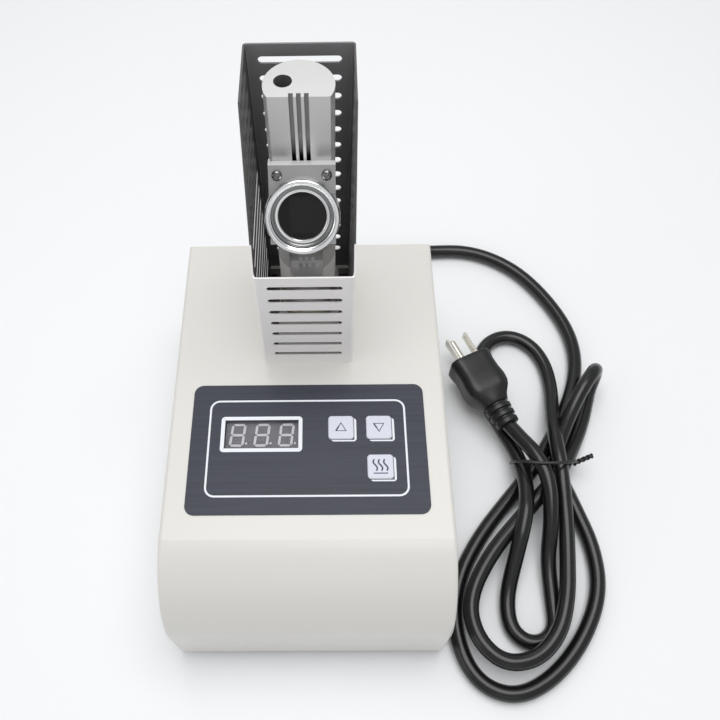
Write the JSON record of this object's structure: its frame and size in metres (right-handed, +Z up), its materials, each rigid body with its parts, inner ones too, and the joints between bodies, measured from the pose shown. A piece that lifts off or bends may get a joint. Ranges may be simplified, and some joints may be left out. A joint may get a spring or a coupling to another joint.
{
  "type": "melting point apparatus",
  "caption": "Bench melting point apparatus: low cabinet with keys and display, slotted guard round an aluminium heating bar with a tilted viewing lens, and a tied mains cord.",
  "frame": {"origin": "centre of the footprint on the bench, at the bottom of the rubber feet", "axes": "+X to the right seen from the front, -Y towards the user, +Z up"},
  "size_m": [0.2595, 0.3066, 0.2395],
  "materials": {
    "enamel": "satin",
    "guard_enamel": "satin",
    "panel_film": "matte",
    "bar_metal": "machined",
    "ring_metal": "machined",
    "screw_steel": "polished",
    "sheet_steel": "brushed",
    "insulation": "matte",
    "optical_glass": "polished",
    "smoked_window": "gloss",
    "digit_white": "gloss",
    "key_plastic": "satin",
    "black_plastic": "satin",
    "foot_rubber": "matte",
    "cord_rubber": "satin",
    "tie_plastic": "satin",
    "plug_brass": "polished",
    "circuit_board": "satin",
    "core_iron": "matte",
    "coil_tape": "gloss",
    "fuse_glass": "polished"
  },
  "bodies": {
    "cabinet": {"top_cover": "enamel", "base_plate": "sheet_steel", "rear_panel": "enamel", "rubber_feet": "foot_rubber", "base_screws": "screw_steel", "rear_panel_screws": "screw_steel", "guard": "guard_enamel", "guard_screws": "screw_steel", "guard_nuts": "screw_steel", "insulator": "insulation", "heating_bar": "bar_metal", "heater_cartridge": "sheet_steel", "temperature_probe": "sheet_steel", "bar_bolts": "screw_steel", "lens_plate": "bar_metal", "lens_plate_screws": "screw_steel", "lens_ring": "ring_metal", "overlay_panel": "panel_film", "display_window": "smoked_window", "display_module": "digit_white", "key_switches": "black_plastic", "control_board": "circuit_board", "control_chips": "black_plastic", "board_posts": "screw_steel", "board_screws": "screw_steel", "power_posts": "screw_steel", "power_board": "circuit_board", "power_screws": "screw_steel", "transformer_core": "core_iron", "transformer_coil": "coil_tape", "heat_sink": "bar_metal", "power_triac": "black_plastic", "terminal_block": "black_plastic", "switch_housing": "black_plastic", "fuse_holder": "black_plastic", "fuse_nut": "black_plastic", "fuse": "fuse_glass", "strain_relief": "cord_rubber", "cord_lead": "cord_rubber", "cord_bundle": "cord_rubber", "cord_tie": "tie_plastic", "plug_body": "cord_rubber", "plug_blades": "plug_brass", "plug_ground_pin": "plug_brass"},
    "key_up_body": {"key_up": "key_plastic"},
    "key_down_body": {"key_down": "key_plastic"},
    "key_heat_body": {"key_heat": "key_plastic"},
    "rocker_body": {"power_rocker": "black_plastic"},
    "lens_body": {"lens_cell": "ring_metal", "lens": "optical_glass", "lens_retainer": "ring_metal"},
    "fuse_cap_body": {"fuse_cap": "black_plastic"}
  },
  "joints": [
    {"name": "key_up_press", "type": "slide", "parent": "cabinet", "child": "key_up_body", "axis": [0, 0, -1], "range_m": [0, 0.0005], "stiffness_N_per_m": 900, "springref_m": -0.0002},
    {"name": "key_down_press", "type": "slide", "parent": "cabinet", "child": "key_down_body", "axis": [0, 0, -1], "range_m": [0, 0.0005], "stiffness_N_per_m": 900, "springref_m": -0.0002},
    {"name": "key_heat_press", "type": "slide", "parent": "cabinet", "child": "key_heat_body", "axis": [0, 0, -1], "range_m": [0, 0.0005], "stiffness_N_per_m": 900, "springref_m": -0.0002},
    {"name": "power_rocker_tilt", "type": "hinge", "parent": "cabinet", "child": "rocker_body", "pos_m": [-0.038, 0.1055, 0.048], "axis": [1, 0, 0], "range_deg": [0, 18]},
    {"name": "lens_focus", "type": "slide", "parent": "cabinet", "child": "lens_body", "axis": [0, -0.809, 0.5878], "range_m": [0, 0.0025]},
    {"name": "fuse_cap_turn", "type": "hinge", "parent": "cabinet", "child": "fuse_cap_body", "pos_m": [-0.004, 0.107, 0.048], "axis": [0, 1, 0], "range_deg": [0, 90]}
  ]
}
